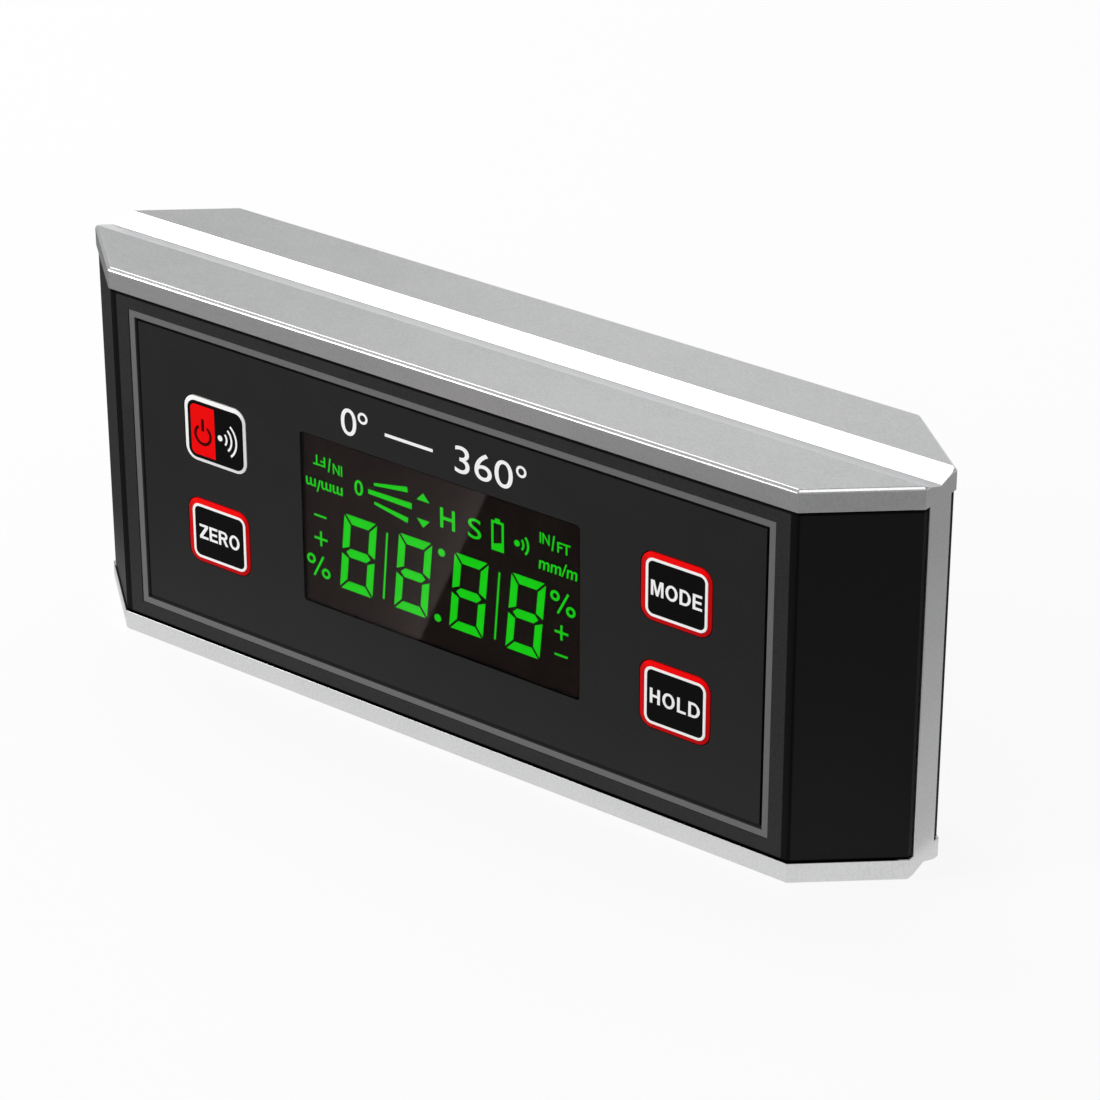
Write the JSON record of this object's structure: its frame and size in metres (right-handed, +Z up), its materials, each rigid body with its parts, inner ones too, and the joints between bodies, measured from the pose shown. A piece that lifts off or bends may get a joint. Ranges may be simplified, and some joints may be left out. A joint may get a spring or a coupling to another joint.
{
  "type": "digital angle gauge",
  "caption": "Digital angle gauge: aluminium frame with V-grooved top and bottom rails and cut corners, black case with display window, raised keys and sliding battery door.",
  "frame": {"origin": "middle of the base, between the lands of the bottom rail", "axes": "+X along the rails, display faces -Y, +Z up"},
  "size_m": [0.15, 0.03, 0.061],
  "materials": {
    "aluminium": "bead-blasted, clear anodised",
    "case_plastic": "fine-textured black ABS",
    "trim": "satin grey paint",
    "faceplate": "matt black printed sheet",
    "lens": "smoked clear plastic, polished",
    "display": "dark display glass",
    "backlight": "white diffuser",
    "strip": "layered silicone",
    "board": "green solder mask",
    "chip": "moulded epoxy",
    "key_white": "white and black rubber",
    "key_red": "red and black rubber",
    "plunger": "black moulded",
    "switch": "tinned shell",
    "cell": "printed sleeve",
    "contact": "nickel plated",
    "screw": "dark zinc",
    "magnet": "nickel plated"
  },
  "bodies": {
    "case": {"frame": "aluminium", "front_cover": "case_plastic", "rear_cover": "case_plastic", "face_trim": "trim", "faceplate": "faceplate", "display_lens": "lens", "display_glass": "display", "backlight": "backlight", "strip_top": "strip", "strip_bottom": "strip", "main_board": "board", "tilt_sensor": "chip", "controller_chip": "chip", "buzzer": "chip", "switch_power": "switch", "switch_zero": "switch", "switch_mode": "switch", "switch_hold": "switch", "cell_upper": "cell", "cell_lower": "cell", "contact_positive": "contact", "contact_negative": "contact", "contact_bridge": "contact", "spring_negative": "contact", "spring_bridge": "contact", "cover_screws": "screw", "board_screws": "screw", "magnets": "magnet"},
    "key_power": {"key_power": "key_white", "plunger_power": "plunger"},
    "key_zero": {"key_zero": "key_red", "plunger_zero": "plunger"},
    "key_mode": {"key_mode": "key_red", "plunger_mode": "plunger"},
    "key_hold": {"key_hold": "key_red", "plunger_hold": "plunger"},
    "door": {"battery_door": "case_plastic"}
  },
  "joints": [
    {"name": "power_press", "type": "slide", "parent": "case", "child": "key_power", "axis": [0, 1, 0], "range_m": [0, 0.0004], "stiffness_N_per_m": 3000},
    {"name": "zero_press", "type": "slide", "parent": "case", "child": "key_zero", "axis": [0, 1, 0], "range_m": [0, 0.0004], "stiffness_N_per_m": 3000},
    {"name": "mode_press", "type": "slide", "parent": "case", "child": "key_mode", "axis": [0, 1, 0], "range_m": [0, 0.0004], "stiffness_N_per_m": 3000},
    {"name": "hold_press", "type": "slide", "parent": "case", "child": "key_hold", "axis": [0, 1, 0], "range_m": [0, 0.0004], "stiffness_N_per_m": 3000},
    {"name": "door_slide", "type": "slide", "parent": "case", "child": "door", "axis": [1, 0, 0], "range_m": [0, 0.058]}
  ]
}
